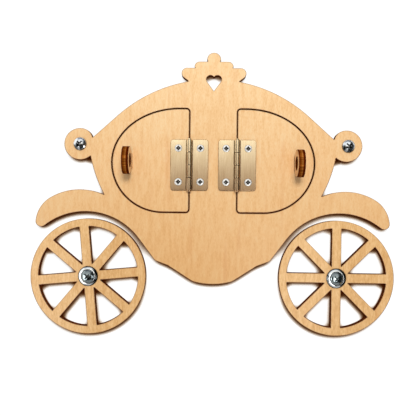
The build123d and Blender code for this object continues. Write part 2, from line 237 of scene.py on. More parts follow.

# %% [markdown]
# ## The singed border
#
# The laser singes the face for half a millimetre along each cut. The border could be painted on
# an image, but the outlines are already there to be felt. A bevel node rounds the normal close
# to a sharp edge, and how much it turns says how near the edge is. Along edges that face down
# the border is painted darker still, as painted shade. Where another piece stands on the front,
# ambient occlusion finds a thin line round it, which is darkened as painted shade.

# %% The singed border
singe_reach = 0.0013
singe_flatness = (0.985, 0.86)
shade_below_facing = (0.5, -0.3)
singe_and_shade_below_cover = (0.6, 0.98)
contact_reach = 0.0012
contact_openness = (0.85, 0.5)
contact_cover = 0.7
scorch = linear(100, 46, 14)
# The colour of the painted shade round pieces that stand on the face.
contact_shade_colour = linear(120, 78, 44)


def singe_and_shade_border(tree):
    """How much a place is singed by how far the bevel turns its normal, darker below as painted shade.
    """
    rounded = add_node(tree, "Bevel", {"Radius": singe_reach}, samples=8).outputs[0]
    true_normal = add_node(tree, "NewGeometry").outputs["Normal"]
    flatness = add_node(tree, "VectorMath", {0: rounded, 1: true_normal}, operation="DOT_PRODUCT")
    singed = add_range(tree, flatness.outputs["Value"], *singe_flatness)
    # Painted shade: the singe grows darker along edges that face down.
    singe_and_shade_below = add_range(tree, add_split(tree, rounded)["Z"], *shade_below_facing, *singe_and_shade_below_cover)
    return add_math(tree, "MULTIPLY", singed, singe_and_shade_below)


def painted_contact_shade(tree, facing):
    """How closely another piece stands on the front of the wood, for painted shade round it."""
    openness = add_openness(tree, contact_reach)
    closeness = add_range(tree, openness, *contact_openness, 0.0, contact_cover)
    return add_math(tree, "MULTIPLY", closeness, add_math(tree, "LESS_THAN", facing, 0.0))


print("the singed border reaches", singe_reach * 1000, "mm from an edge at most")

# %% [markdown]
# ## The cut edge
#
# The walls of a laser cut are nearly black, with the plies still showing as stripes. Real plies
# could be modelled as layers, but on a wall of 5 mm they show as colour alone. So the stripes
# are a ramp across the thickness of the sheet, and streaks of char run over them.

# %% The cut edge
sheet_thickness = 0.005
edge_stops = [
    (0.0, linear(74, 30, 10)), (0.16, linear(44, 14, 4)), (0.40, linear(88, 38, 12)),
    (0.60, linear(48, 16, 5)), (0.84, linear(76, 32, 11)),
]
edge_char = linear(120, 56, 18)
char_grain = 900
char_grain_across = 60
clean_burn = 0.35
full_burn = 0.72


def cut_edge(tree, place, thickness_axis, back, stops, char):
    """The plies of a cut edge, with char over them."""
    across = add_math(tree, "SUBTRACT", add_split(tree, place)[thickness_axis], back)
    depth = add_math(tree, "DIVIDE", add_math(tree, "ABSOLUTE", across), sheet_thickness)
    plies = add_ramp(tree, depth, stops, "CONSTANT")
    grains = [char_grain, char_grain, char_grain]
    grains[thickness_axis] = char_grain_across
    burn = add_noise(tree, place, grains, detail=3, roughness=0.65)
    charred = add_ramp(tree, burn, [(clean_burn, black), (full_burn, white)])
    return add_blend(tree, charred, plies, char)


print("an edge shows", len(edge_stops), "plies of a sheet", sheet_thickness * 1000, "mm thick")

# %% [markdown]
# ## Plywood
#
# A sheet has two looks, its face and its cut edge. They could be two materials on different
# faces of a mesh. One network is simpler: it tells them apart by the direction that a surface
# faces in the piece's own space. The face has a faint sheen, and its fibres are just felt.

# %% A network for plywood
face_roughness = 0.56
edge_roughness = 0.78
face_sheen = 0.25
fibre_strength = 0.25
fibre_depth = 0.00008


def plywood(name, thickness_axis, back, light, middle, dark, painted_low_shade=white, stops=edge_stops,
            char=edge_char):
    """Plywood whose sheet lies square to one axis, with its back at a place on that axis."""
    material, tree, shader = new_material(name)
    coordinates = add_node(tree, "TexCoord")
    place = coordinates.outputs["Object"]
    facing = add_split(tree, coordinates.outputs["Normal"])[thickness_axis]
    on_face = add_math(tree, "GREATER_THAN", add_math(tree, "ABSOLUTE", facing), 0.5)

    fibres = add_noise(tree, place, fibre_grain, detail=2, roughness=0.7)
    wood = wood_face(tree, place, fibres, light, middle, dark, painted_low_shade)
    # The laser's singe, painted darker along edges that face down as shade.
    wood = add_blend(tree, singe_and_shade_border(tree), wood, scorch)
    # Painted shade in a thin line round pieces that stand on the face.
    wood = add_blend(tree, painted_contact_shade(tree, facing), wood, contact_shade_colour)
    plies = cut_edge(tree, place, thickness_axis, back, stops, char)

    tree.links.new(add_blend(tree, on_face, plies, wood), shader.inputs["Base Color"])
    rough = add_range(tree, on_face, 0.0, 1.0, edge_roughness, face_roughness)
    tree.links.new(rough, shader.inputs["Roughness"])
    tree.links.new(add_math(tree, "MULTIPLY", on_face, face_sheen), shader.inputs["Specular IOR Level"])
    bump = add_node(
        tree, "Bump", {"Height": fibres, "Strength": fibre_strength, "Distance": fibre_depth})
    tree.links.new(bump.outputs[0], shader.inputs["Normal"])
    return material


print("fibres stand", round(fibre_depth * 1e6), "thousandths of a millimetre high")

# %% [markdown]
# ## The wooden pieces
#
# The doors are cut out of the panel itself, so they share its wood. The wheels are given darker
# wood, which paints the shade that falls low on the carriage. The pulls stand on edge, so their
# plies show wide and bright to the front, and their back is the side that they turn to the left.

# %% The wooden pieces
# The panel's wood is painted darker towards the bottom, as painted shade.
panel_wood = plywood(
    "birch_panel", 1, 0.0, linear(252, 220, 173), linear(249, 209, 157), linear(239, 192, 135),
    painted_low_shade=(0.82, 0.69, 0.53, 1))
wheel_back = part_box("wheel_left")[1].y
# The wheels' darker wood is painted shade, for their low place on the carriage.
wheel_wood = plywood(
    "birch_wheel", 1, wheel_back, linear(242, 199, 143), linear(230, 183, 123), linear(214, 162, 100))
pull_stops = [
    (0.0, linear(104, 38, 2)), (0.22, linear(150, 84, 24)), (0.46, linear(190, 118, 50)),
    (0.66, linear(94, 32, 2)), (0.84, linear(76, 22, 0)),
]
pull_wood = {
    side: plywood(
        "birch_pull_" + side, 0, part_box("pull_" + side)[0].x,
        linear(246, 206, 154), linear(236, 190, 136), linear(222, 172, 118),
        stops=pull_stops, char=linear(64, 16, 0))
    for side in sides
}


def dress(node, material):
    """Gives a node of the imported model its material."""
    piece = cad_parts[node]
    for place in piece.material_slots:
        place.material = material


dress("body_panel", panel_wood)
for side in sides:
    dress("door_" + side, panel_wood)
    dress("wheel_" + side, wheel_wood)
    dress("pull_" + side, pull_wood[side])
print("plywood on the panel, doors, wheels and pulls")

# %% [markdown]
# ## Plated metal
#
# The hinges are stamped from strip that was brushed along its length and given a thin, warm
# plating. Their screws are pale zinc, which mirrors least. The big screws are nickel, bright at
# the lamps and smoked on the axles, with bright washers under them. Metal looks mostly like what
# it mirrors. The material adds how sharp the mirror is, a little colour, and fine marks.
#
# One side of a domed head is painted darker and the foot of a washer gets a dark line where it
# meets the wood, both as painted shade. Ambient occlusion paints shade into corners too.

# %% A network for metals
scratch_share = 0.6
cloud_share = 0.4
mark_strength = 0.5
highest_sheen = 0.5
roughness_spread = (0.8, 1.25)
painted_shade_grey = linear(30, 30, 28)
painted_shade_cover = 0.93
dark_side_facing = (0.22, 0.46)
black_corner_shade = (0.02, 0.016, 0.012, 1)
brown_corner_shade = (0.09, 0.042, 0.012, 1)
cloud_grain = (160, 160, 60)
corner_reach = 0.0016
hinge_top = 0.103
hinge_bottom = 0.065


def plated(name, light, dark, roughness, marks, mark_depth, full_shade_openness, no_shade_openness, grime=black_corner_shade,
           painted_low_shade=white, metallic=1.0, painted_dark_side=None, foot_shade_band=None):
    """Plated metal with fine marks.

    marks is how many fit in a metre each way. Corners are painted with shade, darkest where they
    are less open than the first of the two openings after mark_depth and clear where more open
    than the second. An optional direction is the one that a patch of painted shade faces, and an
    optional pair of places on Y is where the band of painted shade at a washer's foot begins.
    """
    material, tree, shader = new_material(name)
    coordinates = add_node(tree, "TexCoord")
    place = coordinates.outputs["Object"]
    scratches = add_noise(tree, place, marks, detail=3, roughness=0.6)
    clouds = add_noise(tree, place, cloud_grain, detail=2)
    shade = add_math(tree, "ADD", add_math(tree, "MULTIPLY", scratches, scratch_share),
                     add_math(tree, "MULTIPLY", clouds, cloud_share))
    colour = add_ramp(tree, shade, [(0.3, dark), (0.7, light)])
    # Painted shade: a metal can be darkened from the top of the hinges down to their bottom.
    lowness = add_range(tree, add_split(tree, place)["Z"], hinge_top, hinge_bottom)
    colour = add_blend(tree, lowness, colour, painted_low_shade, "MULTIPLY")
    # Painted shade on the side of a head that faces the given direction.
    if painted_dark_side:
        normal = coordinates.outputs["Normal"]
        facing = add_node(tree, "VectorMath", {0: normal, 1: painted_dark_side}, operation="DOT_PRODUCT")
        dark_side = add_range(tree, facing.outputs["Value"], *dark_side_facing, 0.0, painted_shade_cover)
        colour = add_blend(tree, dark_side, colour, painted_shade_grey)
    # Painted shade in a band at the foot of a washer, next to the wood.
    if foot_shade_band:
        foot_shaded = add_range(tree, add_split(tree, place)["Y"], *foot_shade_band, 0.0, painted_shade_cover)
        colour = add_blend(tree, foot_shaded, colour, painted_shade_grey)
    # Painted shade in corners, recesses and gaps, found by ambient occlusion.
    corners = add_openness(tree, corner_reach)
    corner_shading = add_ramp(tree, corners, [(full_shade_openness, grime), (no_shade_openness, white)])
    tree.links.new(add_blend(tree, 1.0, colour, corner_shading, "MULTIPLY"), shader.inputs["Base Color"])
    sheen = add_range(tree, corners, full_shade_openness, no_shade_openness, 0.0, highest_sheen)
    tree.links.new(sheen, shader.inputs["Specular IOR Level"])
    smooth, rough = [roughness * share for share in roughness_spread]
    tree.links.new(add_range(tree, shade, 0.0, 1.0, smooth, rough), shader.inputs["Roughness"])
    shader.inputs["Metallic"].default_value = metallic
    bump = add_node(
        tree, "Bump", {"Height": scratches, "Strength": mark_strength, "Distance": mark_depth})
    tree.links.new(bump.outputs[0], shader.inputs["Normal"])
    return material


print("grime reaches", corner_reach * 1000, "mm out of a corner at most")

# %% [markdown]
# ## Five metals
#
# The hinges are brushed along their height, so their marks are long that way. Everything turned
# on a lathe or rolled gets marks that are fine and alike in all directions. A washer's foot, just
# in front of the wood it stands on, gets painted shade, so its place is measured from the back.

# %% The metals
brushed = (1500, 1500, 70)
turned = (2500, 2500, 2500)
brush_depth = 0.000012
turning_depth = 0.000003
washer_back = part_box("cup_washer_left")[1].y

# The hinges are painted darker and warmer towards their bottom, as painted shade, with brown painted
# shade in their gaps.
hinge_metal = plated(
    "satin_plate", linear(252, 234, 198), linear(222, 198, 156), 0.24, brushed, brush_depth,
    full_shade_openness=0.58, no_shade_openness=0.83, grime=brown_corner_shade, painted_low_shade=(0.58, 0.475, 0.425, 1))
# The lamp screws get painted shade on their lower left side.
screw_metal = plated(
    "bright_nickel", linear(236, 240, 244), linear(212, 218, 224), 0.15, turned, turning_depth,
    full_shade_openness=0.5, no_shade_openness=0.97, painted_dark_side=(-0.42, 0, -0.91))
small_screw_metal = plated(
    "bright_zinc", linear(250, 250, 248), linear(240, 238, 232), 0.42, turned, turning_depth,
    full_shade_openness=0.84, no_shade_openness=0.98, metallic=0.35)
axle_screw_metal = plated(
    "smoked_nickel", linear(140, 150, 152), linear(122, 132, 134), 0.15, turned, turning_depth,
    full_shade_openness=0.1, no_shade_openness=0.5)
# The washers get painted shade on their right side and at their foot.
washer_metal = plated(
    "nickel_washer", linear(232, 236, 236), linear(210, 214, 216), 0.13, turned, turning_depth,
    full_shade_openness=0.5, no_shade_openness=0.95, painted_dark_side=(1, 0, -0.05), foot_shade_band=(washer_back - 0.00100, washer_back - 0.00080))

node_metals = {
    "hinge_leaf_body_": hinge_metal, "hinge_leaf_door_": hinge_metal, "hinge_pin_": hinge_metal,
    "hinge_screws_body_": small_screw_metal, "hinge_screws_door_": small_screw_metal,
    "lamp_screw_": screw_metal, "axle_screw_": axle_screw_metal, "spacer_washer_": axle_screw_metal,
    "cup_washer_": washer_metal,
}
for part, metal in node_metals.items():
    for side in sides:
        dress(part + side, metal)
print("five plated metals on", len(node_metals), "kinds of hardware")

# %% [markdown]
# ## Modelling in millimetres
#
# The hardware is small, and Blender's tools round off and merge points by fixed distances that
# suit things the size of a chair. So each metal piece is modelled in millimetres, one unit to
# each, and shrunk to metres at the end. An operator acts on all that is selected, so the first
# helpers select one piece, or some edges of it, and nothing else.

# %% Helpers for selecting
metres = 0.001
merge_distance = 0.0005
nearly = 0.01


def select_only(*pieces):
    """Selects some objects and nothing else; the last of them is the active one."""
    bpy.ops.object.select_all(action="DESELECT")
    for piece in pieces:
        piece.select_set(True)
    bpy.context.view_layer.objects.active = pieces[-1]


def select_edges(piece, test):
    """Goes into edit mode with the edges selected whose two ends pass a test."""
    select_only(piece)
    bpy.ops.object.mode_set(mode="EDIT")
    bpy.ops.mesh.select_mode(type="EDGE")
    bpy.ops.mesh.select_all(action="DESELECT")
    bpy.ops.object.mode_set(mode="OBJECT")
    for edge in piece.data.edges:
        start, end = [piece.data.vertices[index].co for index in edge.vertices]
        edge.select = test(start, end)
    bpy.ops.object.mode_set(mode="EDIT")


print("one unit is a millimetre until a piece is handed over")

# %% [markdown]
# ## Lines, turned pieces and blocks
#
# Screws, washers and pins are made on a lathe. The same is done here: half of the outline is
# drawn as a line, by extruding one point again and again, and spun round an axis. Flat pieces
# start as a block between two corners.

# %% Helpers for drawing
turned_steps = 48


def draw_line(name, points):
    """An object of edges from point to point, drawn by extruding a single vertex."""
    bpy.ops.object.select_all(action="DESELECT")
    bpy.ops.mesh.primitive_plane_add(size=1, location=(0, 0, 0))
    line = bpy.context.object
    line.name = name
    bpy.ops.object.mode_set(mode="EDIT")
    bpy.ops.mesh.select_mode(type="VERT")
    bpy.ops.mesh.select_all(action="SELECT")
    bpy.ops.mesh.merge(type="CENTER")
    bpy.ops.transform.translate(value=points[0])
    for start, end in zip(points, points[1:]):
        bpy.ops.mesh.extrude_region_move(TRANSFORM_OT_translate={"value": Vector(end) - Vector(start)})
    bpy.ops.object.mode_set(mode="OBJECT")
    return line


def spin(name, profile, axis="Y", steps=turned_steps):
    """A turned piece: a profile of (radius, place on the axis) pairs spun about the Y or Z axis."""
    if axis == "Y":
        line = draw_line(name, [(radius, along, 0) for radius, along in profile])
    else:
        line = draw_line(name, [(radius, 0, along) for radius, along in profile])
    direction = (0, 1, 0) if axis == "Y" else (0, 0, 1)
    bpy.ops.object.mode_set(mode="EDIT")
    bpy.ops.mesh.select_all(action="SELECT")
    bpy.ops.mesh.spin(steps=steps, angle=2 * pi, center=(0, 0, 0), axis=direction)
    bpy.ops.mesh.select_all(action="SELECT")
    bpy.ops.mesh.remove_doubles(threshold=merge_distance)
    bpy.ops.mesh.normals_make_consistent(inside=False)
    bpy.ops.object.mode_set(mode="OBJECT")
    return line


def arc(centre, radius, start, end, steps):
    """Points along an arc of a profile; angles in degrees."""
    turns = [radians(start + (end - start) * step / steps) for step in range(steps + 1)]
    return [(centre[0] + radius * cos(turn), centre[1] + radius * sin(turn)) for turn in turns]


def block(name, low, high):
    """A box between two corners."""
    middle = [(a + b) / 2 for a, b in zip(low, high)]
    bpy.ops.object.select_all(action="DESELECT")
    bpy.ops.mesh.primitive_cube_add(size=1, location=middle, scale=[b - a for a, b in zip(low, high)])
    bpy.ops.object.transform_apply(location=True, rotation=True, scale=True)
    bpy.context.object.name = name
    return bpy.context.object


print("a turned piece has", turned_steps, "steps to a turn, unless it asks for others")

# %% [markdown]
# ## From a drawing to a finished piece
#
# The other helpers hold the steps that every piece shares: put a modifier on it, join it with
# another piece or cut it, copy it to its place, and hand it over. A piece that is handed over
# gets its material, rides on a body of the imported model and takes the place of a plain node.

# %% Helpers for handing over
sharp_angle = radians(32)


def modify(piece, kind, **settings):
    """Adds a modifier to a piece and applies it."""
    select_only(piece)
    modifier = piece.modifiers.new(kind.lower(), kind)
    for name, value in settings.items():
        setattr(modifier, name, value)
    bpy.ops.object.modifier_apply(modifier=modifier.name)


def combine(piece, tool, operation):
    """Adds a second piece to the first, or cuts the first with it, and clears the second away."""
    modify(piece, "BOOLEAN", object=tool, operation=operation, solver="EXACT")
    bpy.data.objects.remove(tool)


def copy_to(piece, name, x, y, z):
    """A copy of a piece with its own mesh, moved to its place."""
    select_only(piece)
    bpy.ops.object.duplicate()
    copy = bpy.context.object
    copy.name = name
    copy.location = (x, y, z)
    bpy.ops.object.transform_apply(location=True, rotation=False, scale=False)
    return copy


def hand_over(piece, body, material, node):
    """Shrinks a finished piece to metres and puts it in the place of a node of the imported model."""
    select_only(piece)
    piece.scale = (metres, metres, metres)
    bpy.ops.object.transform_apply(location=True, rotation=True, scale=True)
    bpy.ops.object.shade_smooth_by_angle(angle=sharp_angle)
    modify(piece, "WEIGHTED_NORMAL", keep_sharp=True)
    piece.data.materials.clear()
    piece.data.materials.append(material)
    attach(piece, body)
    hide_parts(node)


def box_mm(node):
    """A node's lowest and highest corners in millimetres."""
    return [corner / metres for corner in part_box(node)]


def middle_mm(node):
    """The middle of a node in millimetres."""
    low, high = box_mm(node)
    return (low + high) / 2


print("edges sharper than", round(sharp_angle * 180 / pi), "degrees stay crisp")

# %% [markdown]
# ## The cross in a screw's head
#
# A driver's recess is a cross that narrows towards its floor, because the driver's tip does.
# Two tapered bars at right angles and a round middle make the cutter, and a boolean sinks it
# into the head. The recess stands square on the hinge screws and at 45 degrees on the big ones.

# %% Cutting the recess
above_head = 0.2


def taper_floor(bar, floor, share):
    """Narrows the deep end of a bar, by scaling it about the screw's axis."""
    select_edges(bar, lambda start, end: min(start.y, end.y) > floor - nearly)
    bpy.ops.transform.resize(value=(share, 1, share), center_override=(0, floor, 0))
    bpy.ops.object.mode_set(mode="OBJECT")


def cut_recess(screw, top, half_width, arm, middle, depth, taper, turn=0.0):
    """Sinks a cross of two bars, with a round middle, into the top of a screw's head."""
    start = top - above_head
    floor = top + depth
    bars = []
    for across, up in ((half_width, arm / 2), (arm / 2, half_width)):
        bar = block("bar", (-across, start, -up), (across, floor, up))
        taper_floor(bar, floor, taper)
        bars.append(bar)
    combine(bars[0], bars[1], "UNION")
    bore = [(0, start), (middle, start), (middle * taper, floor), (0, floor)]
    combine(bars[0], spin("middle", bore, steps=16), "UNION")
    select_only(bars[0])
    bars[0].rotation_euler = (0, turn, 0)
    bpy.ops.object.transform_apply(location=False, rotation=True, scale=False)
    combine(screw, bars[0], "DIFFERENCE")


def dome_profile(radius, top, rise, steps=10):
    """A domed top from the axis out to its rim."""
    ball = (radius ** 2 + rise ** 2) / (2 * rise)
    reach = acos((ball - rise) / ball)
    turns = [reach * step / steps for step in range(steps + 1)]
    return [(ball * sin(turn), top + ball * (1 - cos(turn))) for turn in turns]


print("a recess is cut by two crossed bars")

# %% [markdown]
# ## Hinge screws
#
# Eight small screws hold the hinges. Each has a raised head: a low dome above a cone that sits
# in the leaf's countersink. One is turned from its profile and cut, and the rest are copies.
# The two screws of a leaf stay one piece, because they go wherever that leaf goes.

# %% Hinge screws
small_low, small_high = box_mm("hinge_screws_body_left")
small_top = small_low.y
small_tip = small_high.y
small_head = (small_high.x - small_low.x) / 2
small_rim = 0.08
small_rise = 0.7
small_sink = 0.9
small_shank = 1.45
small_core = 1.05
small_step = 0.3
small_point = 1.0
cone_start = small_top + small_rise
cone_end = cone_start + small_sink

small_profile = dome_profile(small_head - small_rim, small_top, small_rise - small_rim, steps=8)
small_profile += [(small_head, cone_start), (small_shank, cone_end)]
small_profile += [(small_core, cone_end + small_step), (small_core, small_tip - small_point)]
small_profile += [(0, small_tip)]
small_screw = spin("small_screw", small_profile)
cut_recess(small_screw, small_top, half_width=1.9, arm=1.0, middle=1.4, depth=1.1, taper=0.8)
print("a hinge screw has", len(small_screw.data.polygons), "faces")

for side in sides:
    for part, body in (("body", "carriage"), ("door", side + "_door")):
        node = "hinge_screws_" + part + "_" + side
        low, high = box_mm(node)
        middle_x = (low.x + high.x) / 2
        pair = [
            copy_to(small_screw, node + "_low", middle_x, 0, low.z + small_head),
            copy_to(small_screw, node + "_high", middle_x, 0, high.z - small_head),
        ]
        select_only(*pair)
        bpy.ops.object.join()
        pair[-1].name = "raised_screws_" + part + "_" + side
        hand_over(pair[-1], body, small_screw_metal, node)
bpy.data.objects.remove(small_screw)

# %% [markdown]
# ## Real threads
#
# The big screws stick out behind the carriage, so their threads are seen from the back. A
# thread is one small tooth carried round and along a helix. The tooth is drawn as a closed
# triangle, and the Screw modifier turns it about the axis while it climbs by one pitch a turn.
# The open ends are capped, and the ridge is joined to the turned body of the screw.

# %% The ridge of a thread
thread_steps = 28
ridge_overlap = 0.15
tooth_base = 0.56


def merge_points(*, fill_ends=False):
    """Merges the points of the active piece that share a place, and can cap its open ends."""
    bpy.ops.object.mode_set(mode="EDIT")
    bpy.ops.mesh.select_all(action="SELECT")
    bpy.ops.mesh.remove_doubles(threshold=merge_distance)
    if fill_ends:
        bpy.ops.mesh.fill_holes(sides=3)
        bpy.ops.mesh.normals_make_consistent(inside=False)
    bpy.ops.object.mode_set(mode="OBJECT")


def thread_ridge(core, crest, start, length, pitch):
    """A helical ridge, from a tooth that is carried along the axis."""
    root = core - ridge_overlap
    base = pitch * tooth_base
    tooth = [(root, start, 0), (crest, start + base / 2, 0), (root, start + base, 0)]
    ridge = draw_line("ridge", tooth + tooth[:1])
    merge_points()
    turns = int((length - base) / pitch)
    modify(ridge, "SCREW", axis="Y", angle=2 * pi, screw_offset=pitch, iterations=turns,
           steps=thread_steps, render_steps=thread_steps, use_merge_vertices=False)
    merge_points(fill_ends=True)
    return ridge


print("a turn of thread has", thread_steps, "steps")

# %% [markdown]
# ## Pan-head screws
#
# A lamp screw and an axle screw differ only in their sizes: the neck, the core and crest of the
# thread, and its pitch. The axle screw keeps its full thickness along the neck, because the
# wheel turns on it. Its head sits in a cup washer, and the lamp screw's on the wood itself.

# %% Pan-head screws
head_wall = 1.05
head_rim = 0.12
head_rim_rise = 0.06
seat_round = 0.25
neck_end = 0.1
core_start = 0.5
point = 3.0
thread_start = 0.8
thread_run_on = 0.6
cup_depth = 0.8
lamp_seat = front_face / metres
axle_seat = box_mm("cup_washer_left")[0].y + cup_depth


def pan_screw(name, node, seat, neck, core, crest, pitch):
    """A screw of the size of a node: domed head with a recess, plain neck, thread and point."""
    low, high = box_mm(node)
    head = (high.x - low.x) / 2
    rim = seat - head_wall
    thread_end = high.y - point
    profile = dome_profile(head - head_rim, low.y, rim - low.y - head_rim_rise)
    profile += [(head, rim), (head, seat - seat_round), (head - seat_round, seat)]
    profile += [(neck, seat), (neck, neck_end), (core, core_start), (core, thread_end), (0, high.y)]
    screw = spin(name, profile)
    cut_recess(
        screw, low.y, half_width=3.0, arm=1.3, middle=1.2, depth=2.0, taper=0.5, turn=radians(45))
    ridge = thread_ridge(core, crest, thread_start, thread_end - thread_start + thread_run_on, pitch)
    combine(screw, ridge, "UNION")
    print("the", name, "has", len(screw.data.polygons), "faces")
    return screw


lamp_model = pan_screw(
    "lamp_screw", "lamp_screw_left", lamp_seat, neck=1.8, core=1.45, crest=2.1, pitch=1.6)
axle_model = pan_screw(
    "axle_screw", "axle_screw_left", axle_seat, neck=2.4, core=1.65, crest=2.4, pitch=1.8)
for part, metal, model in (
    ("lamp_screw_", screw_metal, lamp_model),
    ("axle_screw_", axle_screw_metal, axle_model),
):
    for side in sides:
        middle = middle_mm(part + side)
        screw = copy_to(model, "pan_" + part + side, middle.x, 0, middle.z)
        hand_over(screw, "carriage", metal, part + side)
    bpy.data.objects.remove(model)

# %% [markdown]
# ## Cup washers
#
# Under each axle screw sits a raised washer that hides the screw's edge. Seen from the front it
# is a bright sloping ring, so its outer side is one straight slope, with a small rolled rim where
# the slope turns down to the screw. A straight slope mirrors one band of the room all round.

# %% Cup washers
cup_low, cup_high = box_mm("cup_washer_left")
cup_front = cup_low.y
cup_back = cup_high.y
cup_radius = (cup_high.x - cup_low.x) / 2
cup_chamfer = 0.1
cup_hole = 2.45
cup_well = 4.9
cup_rim = 5.35
rim_round = 0.22
cup_edge = 0.35
slope_top = (6.05, cup_front + 0.13)
well_top = (cup_well + 0.02, cup_front + 0.5)

cup_profile = [(cup_hole, cup_back), (cup_radius - cup_chamfer, cup_back)]
cup_profile += [(cup_radius, cup_back - cup_chamfer), (cup_radius, cup_back - cup_edge), slope_top]
cup_profile += arc((cup_rim, cup_front + rim_round), rim_round, -75, -180, 6)
cup_profile += [well_top, (cup_well, axle_seat), (cup_hole, axle_seat)]
cup = spin("cup", cup_profile + cup_profile[:1], steps=64)
print("a cup washer has", len(cup.data.polygons), "faces")
for side in sides:
    washer = copy_to(cup, "cup_" + side, middle_mm("cup_washer_" + side).x, 0, 0)
    hand_over(washer, "carriage", washer_metal, "cup_washer_" + side)
bpy.data.objects.remove(cup)

# %% [markdown]
# ## The plate and the rolls of a hinge
#
# A leaf is a rounded plate whose tongues are rolled round the pin. Real ones are stamped and
# bent from one strip. Bending a mesh that cleanly is hard, and boolean tools join simple solids
# well, so the plate and the rolls are made apart. The plate is a block with two corners
# bevelled round and all its rims softened. A roll is a short cylinder with soft ends.

# %% The plate and the rolls
knuckle_radius = 2.1
knuckle_count = 4
knuckle_gap = 0.4
knuckle_softening = 0.4
leaf_slot = 0.25
sheet_front = 1.3
sheet_back = 2.3
corner_radius = 1.9
rim_softening = 0.16
only_corners = {"limit_method": "ANGLE", "angle_limit": radians(60)}


def rolled_knuckle(low, high):
    """One roll of a leaf, with its ends softened."""
    bpy.ops.object.select_all(action="DESELECT")
    bpy.ops.mesh.primitive_cylinder_add(
        vertices=40, radius=knuckle_radius, depth=high - low, location=(0, 0, (low + high) / 2))
    roll = bpy.context.object
    bpy.ops.object.transform_apply(location=True, rotation=True, scale=True)
    modify(roll, "BEVEL", width=knuckle_softening, segments=3, **only_corners)
    return roll


def leaf_plate(way, half_width, half_height):
    """The flat of a leaf on one side of the pin, with its two outer corners round."""
    left, right = sorted((way * (knuckle_radius + leaf_slot), way * half_width))
    plate = block("leaf", (left, sheet_front, -half_height), (right, sheet_back, half_height))

    def at_outer_corner(start, end):
        outermost = min(way * start.x, way * end.x) > half_width - nearly
        return outermost and abs(start.z - end.z) < nearly

    select_edges(plate, at_outer_corner)
    bpy.ops.mesh.bevel(offset=corner_radius, segments=7, affect="EDGES")
    bpy.ops.object.mode_set(mode="OBJECT")
    modify(plate, "BEVEL", width=rim_softening, segments=2, **only_corners)
    return plate


print("a hinge has", knuckle_count, "knuckles,", knuckle_gap, "mm apart")

# %% [markdown]
# ## The leaf of a hinge
#
# Short blocks, the tongues, join the rolls to the plate. A drill longer than the hinge opens the
# rolls for the pin, and a turned cutter sinks each screw hole. The two leaves of a hinge differ
# only in which rolls they own, so one function makes all four.

# %% A hinge leaf
tongue_reach = 1.0
tongue_inset = 0.02
pin_radius = 1.1
pin_bore = 1.16
sink_hole = 1.5
sink_radius = 2.8
sink_depth = 0.9
sink_overrun = 1


def hinge_leaf(way, first, half_width, half_height, screw_x, screw_z):
    """A leaf on one side of the pin; way is its direction along X, first its highest knuckle."""
    leaf = leaf_plate(way, half_width, half_height)
    knuckle = 2 * half_height / knuckle_count
    left, right = sorted((0, way * (knuckle_radius + leaf_slot + tongue_reach)))
    tongue_back = sheet_back - tongue_inset
    for index in range(first, knuckle_count, 2):
        high = half_height - index * knuckle - (knuckle_gap / 2 if index else 0)
        low = half_height - (index + 1) * knuckle
        low += knuckle_gap / 2 if index + 1 < knuckle_count else 0
        tongue = block("tongue", (left, sheet_front, low), (right, tongue_back, high))
        combine(leaf, tongue, "UNION")
        combine(leaf, rolled_knuckle(low, high), "UNION")
    bpy.ops.object.select_all(action="DESELECT")
    bpy.ops.mesh.primitive_cylinder_add(vertices=32, radius=pin_bore, depth=4 * half_height)
    combine(leaf, bpy.context.object, "DIFFERENCE")

    sink_profile = [
        (0, sheet_back + sink_overrun), (sink_hole, sheet_back + sink_overrun),
        (sink_hole, sheet_front + sink_depth), (sink_radius, sheet_front),
        (sink_radius, sheet_front - sink_overrun), (0, sheet_front - sink_overrun),
    ]
    sink = spin("sink", sink_profile)
    for height in (-screw_z, screw_z):
        combine(leaf, copy_to(sink, "sink_copy", way * screw_x, 0, height), "DIFFERENCE")
    bpy.data.objects.remove(sink)
    return leaf


print("the pin has", round(pin_bore - pin_radius, 2), "mm of room all round in its rolls")

# %% [markdown]
# ## Butt hinges
#
# The body leaf and the door leaf share one pin, and their knuckles take turns along it. The pin
# rides with the body leaf. It is turned from its outline, with a small round head at each end.

# %% The hinges in place
pin_head = 0.8
pin_head_round = 0.5


def pin_profile(half_height, head_radius):
    """The pin's outline from its lower end to its upper one."""
    corner = (head_radius - pin_head_round, half_height + pin_head - pin_head_round)
    upper = [(pin_radius, half_height), (head_radius, half_height)]
    upper += arc(corner, pin_head_round, 0, 90, 5)
    upper += [(0, half_height + pin_head)]
    return [(across, -along) for across, along in reversed(upper)] + upper


for side, way in zip(sides, (-1, 1)):
    low, high = box_mm("hinge_pin_" + side)
    centre = (low + high) / 2
    for part, body, direction in (("body", "carriage", -way), ("door", side + "_door", way)):
        node = "hinge_leaf_" + part + "_" + side
        leaf_low, leaf_high = box_mm(node)
        screw_low, screw_high = box_mm("hinge_screws_" + part + "_" + side)
        leaf = hinge_leaf(
            direction, first=0 if direction < 0 else 1,
            half_width=max(abs(leaf_low.x - centre.x), abs(leaf_high.x - centre.x)),
            half_height=(leaf_high.z - leaf_low.z) / 2,
            screw_x=abs((screw_low.x + screw_high.x) / 2 - centre.x),
            screw_z=(screw_high.z - screw_low.z) / 2 - small_head,
        )
        placed = copy_to(leaf, "rolled_leaf_" + part + "_" + side, *centre)
        bpy.data.objects.remove(leaf)
        print(placed.name, "has", len(placed.data.polygons), "faces")
        hand_over(placed, body, hinge_metal, node)
    pin = spin("pin", pin_profile((high.z - low.z) / 2 - pin_head, (high.x - low.x) / 2), axis="Z")
    placed = copy_to(pin, "turned_pin_" + side, *centre)
    bpy.data.objects.remove(pin)
    hand_over(placed, "carriage", hinge_metal, "hinge_pin_" + side)

